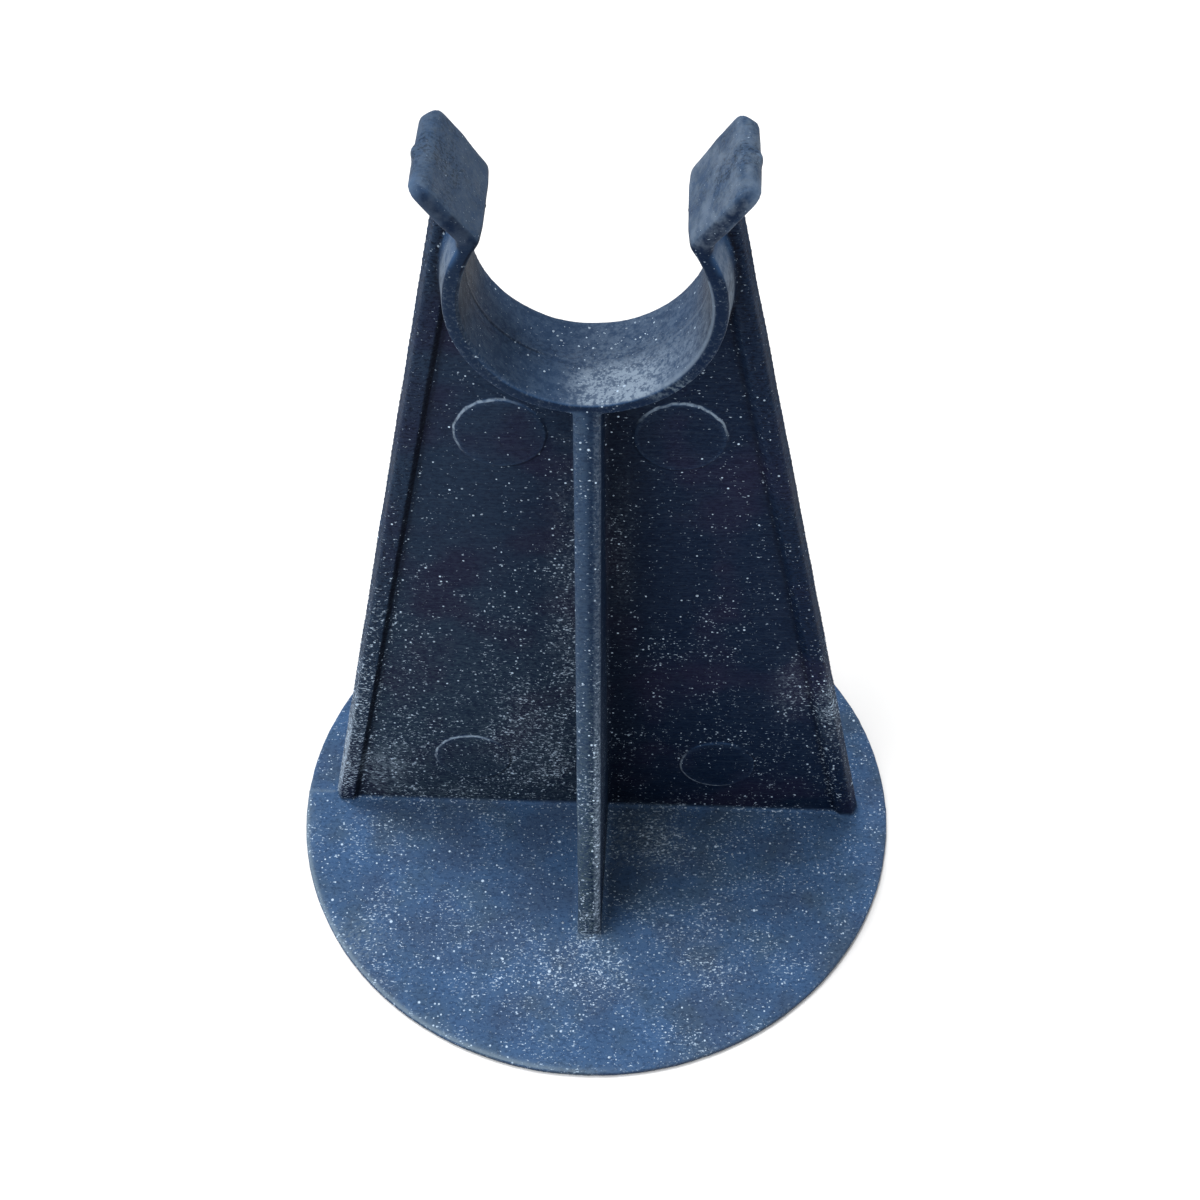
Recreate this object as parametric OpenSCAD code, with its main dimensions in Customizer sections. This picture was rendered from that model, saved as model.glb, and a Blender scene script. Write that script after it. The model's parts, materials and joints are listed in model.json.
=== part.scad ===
// Rebar chair: one moulded piece in millimetres, Z up, standing on Z = 0.
// A round base plate carries a tapered upright plate whose slanted sides are
// edged by flanges. A fin braces the upright at the front and at the back.
// On top sits an open ring seat for a round bar lying along Y, entered from
// above between two flared ears. The mould parts at the plane Y = 0, so every
// wall that stands across it thins towards the front and the back.

/* [Base plate] */
// diameter of the round base plate
base_dia = 107; // [90:1:125]
// thickness of the base plate
base_thick = 1.6; // [1.2:0.1:3]
// rounding along both rim edges of the base plate
rim_round = 0.5; // [0.1:0.05:0.55]

/* [Upright plate] */
// thickness of the upright plate
web_thick = 2.3; // [1.6:0.1:4]
// clearance from the foot of each slanted side to the base plate rim
foot_margin = 5.3; // [2:0.1:12]
// distance from the seat ring to the slanted side, at bar height
shoulder_margin = 2.1; // [1:0.1:8]
// fillet between the upright plate and the base plate
web_foot_round = 0.5; // [0.2:0.05:1.5]

/* [Edge flanges] */
// depth of the flanges along Y, front to back
flange_depth = 4; // [3:0.1:8]
// width of the flat front face of a flange
flange_face = 2.3; // [1.5:0.1:5]
// how far the outer side falls back from the parting plane to the front face
flange_outer_draft = 0.8; // [0:0.05:1.5]
// how far the inner side slopes in from the front face to the parting plane
flange_inner_draft = 2.6; // [0.5:0.1:4]
// rounding along the edges of the front and back faces of a flange
flange_round = 0.5; // [0.1:0.05:0.8]

/* [Fins] */
// reach of each fin on the base plate, from the parting plane
fin_reach = 28.5; // [20:0.5:45]
// thickness of the fins behind their rounded outer edge
fin_thick = 3.9; // [2.5:0.1:6]
// draft of each side of a fin, degrees
fin_draft = 0.7; // [0:0.1:2]
// rounding along both corners of the outer edge of a fin
fin_round = 0.8; // [0.3:0.05:1.2]
// fillet around the foot of a fin
fin_foot_round = 1.2; // [0.4:0.1:2.5]

/* [Seat ring] */
// diameter of the bar seat
seat_bore = 32; // [20:0.5:40]
// height of the bar axis above the ground
seat_height = 127; // [90:1:160]
// length of the seat along the bar
seat_length = 16.6; // [12:0.2:26]
// wall of the ring at its two end faces
seat_wall = 2.1; // [1.5:0.1:4]
// extra wall at the parting plane, from the moulding draft
seat_draft = 1.4; // [0.2:0.1:2]
// rounding along the outer edges of the ring
seat_round = 0.6; // [0.1:0.05:0.9]
// chamfer where the bore meets the end faces of the ring
bore_chamfer = 0.4; // [0.1:0.05:0.6]

/* [Ears] */
// width of the mouth between the two inner corners of the ears
mouth_gap = 24.8; // [14:0.2:30]
// tilt of the inner face of each ear from the vertical, degrees
ear_flare = 36; // [20:1:50]
// length of an ear from the inner corner to its outer end
ear_length = 11.4; // [7:0.2:18]
// thickness of an ear at its front and back edges
ear_thick = 2.5; // [1.8:0.1:4]
// extra thickness of an ear at the parting plane
ear_draft = 1; // [0:0.1:1.5]
// corner radius of the outer end of an ear, seen on its broad face
ear_corner = 2.2; // [0.5:0.1:3]
// rounding along the front and back edges of an ear
ear_round = 0.6; // [0.1:0.05:1]
// rounding of the inner corner where the mouth meets the seat
nose_radius = 0.8; // [0.3:0.1:1.2]

/* [Ejector pin marks] */
// diameter of the four marks on the front of the upright plate
mark_dia = 13.2; // [6:0.2:16]
// how far a mark stands proud of the plate
mark_rise = 0.25; // [0.1:0.05:0.5]
// distance of an upper mark from the centre line
upper_mark_x = 12.8; // [10:0.1:14]
// distance of an upper mark below the bar axis
upper_mark_drop = 29; // [27:0.5:40]
// distance of a lower mark from the centre line
lower_mark_x = 21.8; // [11:0.1:25]
// height of a lower mark above the base plate
lower_mark_rise = 14.5; // [9:0.1:30]

/* [Hidden] */

// facets of the large, the middling and the small round faces
fine = 144;
medium = 72;
small = 32;
// steps along the arc that rounds a square corner
corner_steps = 5;

// surface colour
body_color = [0.24, 0.31, 0.47];

base_radius = base_dia / 2;
seat_radius = seat_bore / 2;
seat_half = seat_length / 2;
ring_end_radius = seat_radius + seat_wall;
ring_mid_radius = ring_end_radius + seat_draft;

// overlap that buries one form inside the next
bury = base_thick / 2;
// depth by which a fillet bites into the faces that it joins
bite = 0.02;

// slanted side of the upright: a line through its foot and its shoulder
foot_half = base_radius - foot_margin;
shoulder_half = ring_mid_radius + shoulder_margin;
side_lean = atan((foot_half - shoulder_half) / (seat_height - base_thick));
function side_at(z) = foot_half - (z - base_thick) * tan(side_lean);

// inner corner of an ear, on the bore
throat_x = mouth_gap / 2;
throat_z = seat_height + sqrt(pow(seat_radius, 2) - pow(throat_x, 2));
ear_full = ear_thick + ear_draft;
tip_radius = ear_full / 2;
// the ears end a hair inside the end faces of the ring
ear_half = seat_half - bite;

// point at distance s along an ear and n through its thickness
function ear_point(s, n) = [
    throat_x + s * sin(ear_flare) + n * cos(ear_flare),
    throat_z + s * cos(ear_flare) - n * sin(ear_flare)
];

// where the slanted side, moved in by an inset, meets the middle of the ear
mid_start = ear_point(0, tip_radius);
function mid_run(inset) = (side_at(mid_start[1]) - inset - mid_start[0])
    / (sin(ear_flare) + cos(ear_flare) * tan(side_lean));
function shoulder_tip(inset) = ear_point(mid_run(inset), tip_radius);

// inset of the middle of a flange from the slanted side
flange_middle = flange_outer_draft + flange_face / 2;

// centre of the rounding at the inner corner of an ear
nose_rel = [throat_x + nose_radius * cos(ear_flare),
            throat_z - seat_height - nose_radius * sin(ear_flare)];
nose_along = nose_rel[0] * sin(ear_flare) + nose_rel[1] * cos(ear_flare);
nose_shift = sqrt(pow(nose_along, 2) + pow(seat_radius + nose_radius, 2)
    - nose_rel * nose_rel) - nose_along;
nose_centre = ear_point(nose_shift, nose_radius);
nose_bore_dir = [nose_centre[0], nose_centre[1] - seat_height]
    / (seat_radius + nose_radius);
nose_on_bore = [0, seat_height] + seat_radius * nose_bore_dir;

// sloping outer edge of a fin, from its foot up to the seat ring
fin_top = seat_height - ring_end_radius;
fin_lean = atan((fin_reach - seat_half) / (fin_top - base_thick));
fin_half = fin_thick / 2;
fin_root_half = fin_half + (fin_reach - fin_round) * tan(fin_draft);

// the sides of a fin seen from above, along its foot
foot_turn = atan(tan(fin_draft) * cos(fin_lean));
foot_run = fin_reach - fin_round / cos(fin_lean);

// span that clears the whole part in any direction
clear = 2 * (base_dia + seat_height);

// stands a drawing up: its second axis becomes Z, its depth runs along Y
module upright_prism(depth) {
    rotate([90, 0, 0])
        linear_extrude(depth, center = true)
            children();
}

module both_sides() {
    children();
    mirror([1, 0, 0])
        children();
}

// arc that rounds the corner p between the directions a and b
function corner_arc(p, a, b, radius) =
    let (
        half = acos(a * b) / 2,
        centre = p + (a + b) / norm(a + b) * radius / sin(half),
        start = p + a * radius / tan(half) - centre,
        sweep = sign(cross(b, a)) * (180 - 2 * half),
        steps = ceil(corner_steps * abs(sweep) / 90)
    )
    [for (i = [0:steps]) centre + turned(start, sweep * i / steps)];

function turned(v, angle) = [
    v[0] * cos(angle) - v[1] * sin(angle),
    v[0] * sin(angle) + v[1] * cos(angle)
];

function toward(from, to) = (to - from) / norm(to - from);

// outline with rounded corners; a radius of 0 keeps a corner sharp
module soft_outline(points, radii) {
    last = len(points) - 1;
    polygon([
        for (i = [0:last])
            let (
                p = points[i],
                a = toward(p, points[i == 0 ? last : i - 1]),
                b = toward(p, points[i == last ? 0 : i + 1])
            )
            each radii[i] == 0 ? [p] : corner_arc(p, a, b, radii[i])
    ]);
}

// section of a fillet between a level face and a wall that leans back from
// it; the corner is the origin, and each leg is about as long as reach
module fillet_section(reach, lean = 0, behind = bury) {
    arc_radius = reach * tan(45 + lean / 2);
    centre = [reach - bite, arc_radius - bite];
    difference() {
        polygon([
            [-behind, -bury],
            [centre[0], -bury],
            centre,
            [-behind, centre[1] - (centre[0] + behind) * tan(lean)]
        ]);
        translate(centre)
            circle(arc_radius, $fn = small);
    }
}

module base_plate() {
    rotate_extrude($fn = fine)
        soft_outline([
            [0, 0],
            [base_radius, 0],
            [base_radius, base_thick],
            [0, base_thick]
        ], [0, rim_round, rim_round, 0]);
}

// front outline of the upright, its top corners buried in the ears
module upright_outline(inset) {
    foot_x = side_at(bury) - inset;
    tip = shoulder_tip(inset);
    polygon([
        [foot_x, bury],
        tip,
        mid_start,
        [0, seat_height],
        [-mid_start[0], mid_start[1]],
        [-tip[0], tip[1]],
        [-foot_x, bury]
    ]);
}

// bar of flange section laid along the slanted side
module flange_bar() {
    half = flange_depth / 2;
    face_end = flange_outer_draft + flange_face;
    soft = flange_round;
    translate([foot_half, 0, base_thick])
        rotate([0, -side_lean, 0])
            linear_extrude(clear, center = true)
                soft_outline([
                    [0, 0],
                    [-flange_outer_draft, -half],
                    [-face_end, -half],
                    [-face_end - flange_inner_draft, 0],
                    [-face_end, half],
                    [-flange_outer_draft, half]
                ], [0, soft, soft, 0, soft, soft]);
}

// both flanges, trimmed inside the base plate and inside the ears
module flanges() {
    intersection() {
        upright_prism(2 * flange_depth)
            upright_outline(-bury);
        both_sides()
            flange_bar();
    }
}

// upright plate, its slanted sides buried in the flanges
module web() {
    upright_prism(web_thick)
        upright_outline(flange_middle);
    for (turn = [0, 180])
        rotate([0, 0, turn])
            web_foot_fillet();
}

// fillet along the foot of the upright plate, on its back
module web_foot_fillet() {
    translate([0, web_thick / 2, base_thick])
        rotate([90, 0, 90])
            linear_extrude(2 * (foot_half - flange_middle), center = true)
                fillet_section(web_foot_round);
}

// section of a fin, its outer edge along the first axis
module fin_section() {
    flat_half = fin_half - fin_round;
    polygon([
        [-flat_half, 0],
        [flat_half, 0],
        [fin_half, fin_round],
        [fin_root_half, fin_reach],
        [-fin_root_half, fin_reach],
        [-fin_half, fin_round]
    ]);
    for (side = [-1, 1])
        translate([side * flat_half, fin_round])
            circle(fin_round, $fn = small);
}

// fillet around the foot of the front fin: both sides, corners and the front
module fin_foot_fillet() {
    corner_x = fin_half - fin_round;
    corner_y = fin_round - fin_reach;
    translate([0, 0, base_thick]) {
        both_sides() {
            translate([fin_half, -foot_run, 0])
                rotate([90, 0, 180 - foot_turn])
                    mirror([1, 0, 0])
                        linear_extrude(foot_run)
                            fillet_section(fin_foot_round);
            translate([corner_x, corner_y, 0])
                rotate([0, 0, -90])
                    rotate_extrude(angle = 90, $fn = medium)
                        translate([fin_round, 0])
                            fillet_section(fin_foot_round, fin_lean,
                                           fin_round - bite);
        }
        translate([0, -fin_reach, 0])
            rotate([90, 0, -90])
                linear_extrude(2 * corner_x, center = true)
                    fillet_section(fin_foot_round, fin_lean);
    }
}

// front fin: its section follows the slope, its back buried in the upright
module front_fin() {
    height = fin_top + seat_wall / 2 - bury;
    depth = 2 * fin_reach;
    intersection() {
        translate([0, -fin_reach, base_thick])
            rotate([-fin_lean, 0, 0])
                linear_extrude(clear, center = true)
                    fin_section();
        translate([-fin_root_half, web_thick / 4 - depth, bury])
            cube([2 * fin_root_half, depth, height]);
    }
}

module fins() {
    for (side = [0, 1])
        mirror([0, side, 0]) {
            front_fin();
            fin_foot_fillet();
        }
}

// four proud marks of the ejector pins, on the front of the upright plate
module pin_marks() {
    both_sides() {
        pin_mark(upper_mark_x, seat_height - upper_mark_drop);
        pin_mark(lower_mark_x, base_thick + lower_mark_rise);
    }
}

// round pad with a chamfered edge, its root inside the upright plate
module pin_mark(x, z) {
    radius = mark_dia / 2;
    top = web_thick / 2 + mark_rise;
    edge = mark_rise / 2;
    translate([x, 0, z])
        rotate([90, 0, 0])
            rotate_extrude($fn = medium)
                polygon([
                    [0, 0],
                    [radius, 0],
                    [radius, top - edge],
                    [radius - edge, top],
                    [0, top]
                ]);
}

// open ring around the bar axis, thicker at the parting plane; both of its
// ends are buried in the ears
module seat_ring() {
    low = ear_point(-seat_radius / 4, tip_radius);
    high = ear_point(2 * ear_length, tip_radius);
    difference() {
        translate([0, 0, seat_height])
            rotate([90, 0, 0])
                rotate_extrude($fn = fine)
                    soft_outline([
                        [seat_radius - seat_wall / 2, -seat_half],
                        [ring_end_radius, -seat_half],
                        [ring_mid_radius, 0],
                        [ring_end_radius, seat_half],
                        [seat_radius - seat_wall / 2, seat_half]
                    ], [0, seat_round, 0, seat_round, 0]);
        upright_prism(2 * seat_length)
            polygon([
                low,
                high,
                [-high[0], high[1]],
                [-low[0], low[1]]
            ]);
    }
}

// one ear in its own frame: X through the thickness, Z along the ear
module ear_plate() {
    end_z = ear_length - tip_radius;
    soft = ear_round;
    intersection() {
        translate([0, 0, -bury])
            linear_extrude(ear_length + 2 * bury)
                soft_outline([
                    [0, -ear_half],
                    [ear_thick, -ear_half],
                    [ear_full, 0],
                    [ear_thick, ear_half],
                    [0, ear_half]
                ], [soft, soft, 0, soft, soft]);
        upright_prism(2 * seat_length)
            union() {
                translate([-bury, -bury])
                    square([ear_full + 2 * bury, end_z + bury]);
                translate([tip_radius, end_z])
                    circle(tip_radius, $fn = 2 * small);
            }
        ear_broad_face();
    }
}

// broad face of an ear with its two rounded outer corners
module ear_broad_face() {
    corner_y = ear_half - ear_corner;
    corner_z = ear_length - ear_corner;
    rotate([90, 0, 90])
        linear_extrude(4 * ear_full, center = true)
            union() {
                translate([-ear_half, -bury])
                    square([2 * ear_half, corner_z + bury]);
                translate([-corner_y, -bury])
                    square([2 * corner_y, ear_length + bury]);
                for (end = [-1, 1])
                    translate([end * corner_y, corner_z])
                        circle(ear_corner, $fn = 2 * small);
            }
}

module ears() {
    both_sides()
        translate([throat_x, 0, throat_z])
            rotate([0, ear_flare, 0])
                ear_plate();
}

// room for the bar: the bore, its end chamfers and the rounded inner corners
module bar_space() {
    flare = bore_chamfer + bury;
    translate([0, 0, seat_height])
        rotate([90, 0, 0]) {
            cylinder(h = 2 * seat_length, r = seat_radius, center = true,
                     $fn = fine);
            for (side = [0, 1])
                mirror([0, 0, side])
                    translate([0, 0, seat_half - bore_chamfer])
                        cylinder(h = flare, r1 = seat_radius,
                                 r2 = seat_radius + flare, $fn = fine);
        }
    both_sides()
        nose_cut();
}

// takes off the inner corner of an ear outside its rounding
module nose_cut() {
    out = ear_point(-nose_radius, -nose_radius);
    upright_prism(2 * seat_length)
        difference() {
            polygon([
                ear_point(nose_shift, 0),
                out,
                nose_on_bore,
                nose_centre
            ]);
            translate(nose_centre)
                circle(nose_radius, $fn = small);
        }
}

module chair() {
    color(body_color)
        difference() {
            union() {
                base_plate();
                web();
                flanges();
                fins();
                pin_marks();
                seat_ring();
                ears();
            }
            bar_space();
        }
}

chair();
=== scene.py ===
import json
import math
import random
from functools import reduce

import bmesh
import bpy
import numpy as np
from mathutils import Matrix, Vector
from mathutils.bvhtree import BVHTree


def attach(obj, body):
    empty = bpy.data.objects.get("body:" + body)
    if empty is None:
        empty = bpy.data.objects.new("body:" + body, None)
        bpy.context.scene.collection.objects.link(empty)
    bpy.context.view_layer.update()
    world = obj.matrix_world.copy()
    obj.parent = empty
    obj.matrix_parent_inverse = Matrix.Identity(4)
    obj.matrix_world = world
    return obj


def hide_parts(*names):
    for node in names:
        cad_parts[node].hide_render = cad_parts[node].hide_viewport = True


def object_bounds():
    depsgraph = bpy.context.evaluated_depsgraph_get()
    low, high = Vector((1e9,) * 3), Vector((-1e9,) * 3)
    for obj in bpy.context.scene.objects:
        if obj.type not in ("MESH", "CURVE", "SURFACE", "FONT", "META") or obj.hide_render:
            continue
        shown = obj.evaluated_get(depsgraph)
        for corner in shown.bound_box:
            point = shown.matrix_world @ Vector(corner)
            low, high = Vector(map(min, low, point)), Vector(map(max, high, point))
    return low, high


bl_info = {
    "name": "Rebar Chair",
    "version": (1, 0, 0),
    "blender": (4, 5, 0),
    "location": "3D View > Sidebar > Rebar Chair",
    "description": "Finishes the moulded rebar chair and sets its studio",
    "category": "Object",
}

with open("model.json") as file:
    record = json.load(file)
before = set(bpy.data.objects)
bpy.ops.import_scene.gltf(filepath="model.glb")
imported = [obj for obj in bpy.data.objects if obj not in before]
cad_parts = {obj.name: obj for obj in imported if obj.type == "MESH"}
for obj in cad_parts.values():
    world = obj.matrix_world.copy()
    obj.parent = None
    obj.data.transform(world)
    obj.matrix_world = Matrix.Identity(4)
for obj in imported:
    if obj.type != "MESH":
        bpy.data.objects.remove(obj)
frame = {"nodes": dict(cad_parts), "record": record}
CAD_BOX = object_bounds()

MM = 0.001
NODE = "chair"
BODY = "root"

VALUE = "NodeSocketFloat"
VECTOR = "NodeSocketVector"


# ---------------------------------------------------------------- settings

def length(name, description, default):
    return bpy.props.FloatProperty(
        name=name, description=description, default=default, unit="LENGTH", precision=6)


def count(name, description, default):
    return bpy.props.IntProperty(name=name, description=description, default=default, min=0)


def share(name, description, default):
    return bpy.props.FloatProperty(
        name=name, description=description, default=default, min=0, max=1, subtype="FACTOR")


def strength(name, description, default):
    return bpy.props.FloatProperty(name=name, description=description, default=default, min=0)


def angle(name, description, default):
    return bpy.props.FloatProperty(
        name=name, description=description, default=math.radians(default), subtype="ANGLE")


def colour(name, description, default):
    return bpy.props.FloatVectorProperty(
        name=name, description=description, default=default, subtype="COLOR", size=3,
        min=0, max=1)


def place(name, description, default):
    return bpy.props.FloatVectorProperty(
        name=name, description=description, default=default, subtype="TRANSLATION",
        unit="LENGTH", size=3)


class ChairSkin(bpy.types.PropertyGroup):
    """How the skin of the moulded body is rebuilt and worn"""

    merge: length("Merge distance", "Gap under which corner points are one", 0.002 * MM)
    grid: length("Skin grid", "Grid on which the skin is rebuilt", 0.27 * MM)
    soft_passes: count("Softening", "Smoothing passes that round the edges", 4)
    ear_passes: count("Ear softening", "Further smoothing passes on the ears", 5)
    nose_passes: count("Nose softening", "Further passes on the corners of the mouth", 110)
    nose_reach: length("Nose reach", "How far the softening of the mouth's corners goes", 3.6 * MM)
    worn_passes: count("Edge search", "Smoothing passes that find the edges", 18)
    edge_depth: length("Edge depth", "Smoothing depth that marks a full edge", 0.07 * MM)
    nick_size: length("Nick size", "Length of the nicks along the edges", 1.8 * MM)
    nick_depth: length("Nick depth", "Depth of the nicks along the edges", 0.08 * MM)
    wave_size: length("Wave size", "Length of the waves in the flat faces", 8 * MM)
    wave_depth: length("Wave depth", "Depth of the waves in the flat faces", 0.14 * MM)
    seam_rise: length("Seam rise", "Height of the seam where the mould parts", 0.1 * MM)
    seam_width: length("Seam width", "Half width of the seam", 0.3 * MM)
    nub_width: length("Nub width", "Width of the nub on the end of each ear", 3.2 * MM)
    nub_rise: length("Nub rise", "How far the nub stands out of the ear", 0.16 * MM)
    nub_drop: length("Nub drop", "How far the nub lies under the top of the ear", 1.3 * MM)
    faces: count("Faces", "Triangles of the finished body", 188000)


class ChairFinish(bpy.types.PropertyGroup):
    """Colours of the plastic and of what lies on it, and of the light and shade painted on it"""

    # deep blue is also laid as painted shade on the ring's right and on the ears' fronts
    deep: colour("Deep blue", "Plastic that is sheltered", (0.0035, 0.0115, 0.035))
    # painted light: paler blue painted over the upright's left, where the light from the left falls
    lit_side_blue: colour("Shelf blue", "Plastic of the upright that has begun to fade",
                  (0.013, 0.0268, 0.057))
    # sun-faded plastic, and painted skylight on faces that turn up
    faded_and_lit: colour("Faded blue", "Plastic that faces the sky", (0.053, 0.124, 0.272))
    # painted highlight on the ears' corners and edges
    highlight_blue: colour("Pale blue", "Plastic rubbed bright at the ears' corners", (0.085, 0.145, 0.25))
    # worn grey, also laid on the fins' left halves as part of their painted light
    grey: colour("Worn blue", "Plastic rubbed to a greyer tone", (0.055, 0.082, 0.124))
    violet: colour("Violet tone", "Faint violet tone of the upright", (0.0125, 0.0125, 0.038))
    # dark pits, and the colour of painted shade beside the fin, in the flanges' corners, along the
    # seat's seam and on the pin marks' shaded arcs
    pit_and_shade: colour("Pit", "Plastic in the deepest corners", (0.002, 0.0025, 0.007))
    dusk: colour("Dusk tone", "Violet grey of the base plate", (0.042, 0.064, 0.125))
    scour: colour("Scoured tone", "Plastic roughened by fine dust", (0.058, 0.090, 0.108))
    # cement dust, also laid as painted highlight on the bore's lip and the ring's shoulders
    dust: colour("Dust", "Film of cement dust", (0.225, 0.29, 0.375))
    # grains of cement dust, and the painted highlight on the pin marks' lit arcs
    speck_and_highlight: colour("Specks", "Grains of cement dust", (0.58, 0.74, 0.92))
    # dried cement wash, and the painted highlight along the base plate's rim
    smear_and_highlight: colour("Smear", "Dried cement wash", (0.165, 0.225, 0.285))


class ChairWear(bpy.types.PropertyGroup):
    """How strongly wear, dirt, painted light and painted shade show, and how the skin shines"""

    tint: share("Tint", "Violet tone in the upright", 0.8)
    brushing: share("Brushing", "Brush marks on the upright and the ring", 0.16)
    # painted shadow that the fin casts on the upright's front
    shade: share("Shade", "Dark band beside the fin", 0.85)
    # painted shade in the corner between each flange and the upright
    groove_shade: share("Groove", "Dark line along the flanges' inner corner", 0.85)
    # painted shade on the left flange's inner side
    flank: share("Flank", "Dark inner side of the left flange", 0.9)
    dusk_clouds: share("Dusk clouds", "Violet grey clouds on the base plate", 0.45)
    scour_clouds: share("Scoured clouds", "Scoured clouds on the base plate", 0.3)
    # painted shade along the mould seam in the left of the seat
    crease: share("Crease", "Dark seam in the left of the seat", 0.5)
    mottling: share("Mottling", "Dark mottling of the seat and the ears", 0.4)
    # painted shade on the ears' front faces
    ear_front_shade: share("Ear fronts", "Dark front faces of the ears", 0.65)
    # painted highlight on the ears' corners and edges
    ear_corner_highlight: share("Ear corners", "Pale rubbed corners of the ears", 0.6)
    # painted highlight along the front left of the base plate's rim
    rim: share("Rim", "Pale rubbed rim of the base plate", 0.75)
    wash: share("Wash", "Smears of dried cement wash", 0.75)
    # painted highlight and painted shade on the arcs round the pin marks
    lit_rims: share("Lit rims", "Lit arcs round the ejector pin marks", 0.58)
    dark_rims: share("Dark rims", "Shaded arcs round the ejector pin marks", 0.8)
    least_roughness: share("Least roughness", "Roughness of the smoothest plastic", 0.48)
    most_roughness: share("Most roughness", "Roughness of the dullest plastic", 0.64)
    dusty_roughness: share("Dusty roughness", "Roughness of the dust", 0.95)
    shine: share("Shine", "Specular level of the plastic", 0.04)
    grain_relief: share("Grain relief", "Height of the moulded grain, in millimetres", 0.06)
    dust_relief: share("Dust relief", "Height of the dust's unevenness, in millimetres", 0.07)
    relief: share("Relief", "Strength of all fine relief", 0.9)


class ChairGrit(bpy.types.PropertyGroup):
    """The larger grains that lie on the body"""

    smallest: length("Smallest grain", "Radius of the smallest grain", 0.08 * MM)
    largest: length("Largest grain", "Radius of the largest grain", 0.24 * MM)
    flatness: share("Flatness", "Height of a grain as a share of its width", 0.6)
    amount: share("Amount", "Share of the grains that is laid out", 1.0)
    relief: length("Relief", "Height of the grains' own roughness", 0.03 * MM)


class ChairStudio(bpy.types.PropertyGroup):
    """Camera, floor and lights"""

    lens: bpy.props.FloatProperty(
        name="Lens", description="Focal length on the sensor", default=51.79, unit="CAMERA")
    sensor: bpy.props.FloatProperty(
        name="Sensor", description="Width of the sensor", default=36, unit="CAMERA")
    eye: place("Camera place", "Place of the camera", (0.0096, -0.1738, 0.2722))
    yaw: angle("Yaw", "Turn of the view to the left", 2.797)
    pitch: angle("Pitch", "Tilt of the view below the horizon", 50.668)
    roll: angle("Roll", "Turn of the camera about its view", -0.601)
    nearest: length("Nearest", "Distance at which the view begins", 10 * MM)
    floor_tone: share("Floor tone", "Brightness of the floor", 0.95)
    floor_roughness: share("Floor roughness", "Roughness of the floor", 0.9)
    floor_shine: share("Floor shine", "Specular level of the floor", 0.1)
    floor_size: length("Floor size", "Side of the square floor", 60.0)
    key_strength: strength("Key strength", "Strength of the overhead light", 1.8)
    key_spread: angle("Key spread", "Angle across the overhead light", 15)
    key_place: place("Key place", "Way that the overhead light comes from", (-0.24, 0.24, 1.28))
    fill_strength: strength("Fill strength", "Strength of the light at the left", 1.5)
    fill_spread: angle("Fill spread", "Angle across the light at the left", 50)
    fill_place: place("Fill place", "Way that the light at the left comes from", (-0.85, -0.5, 1.03))
    sky: strength("Sky", "Strength of the even light all round", 0.47)


def chair():
    return bpy.context.scene.rebar_chair


def clamp_mount():
    """The bar seat as the record states it."""
    return next(m for m in frame["record"]["mounts"] if m["kind"] == "clamp")


# ---------------------------------------------------------------- node wiring

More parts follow.
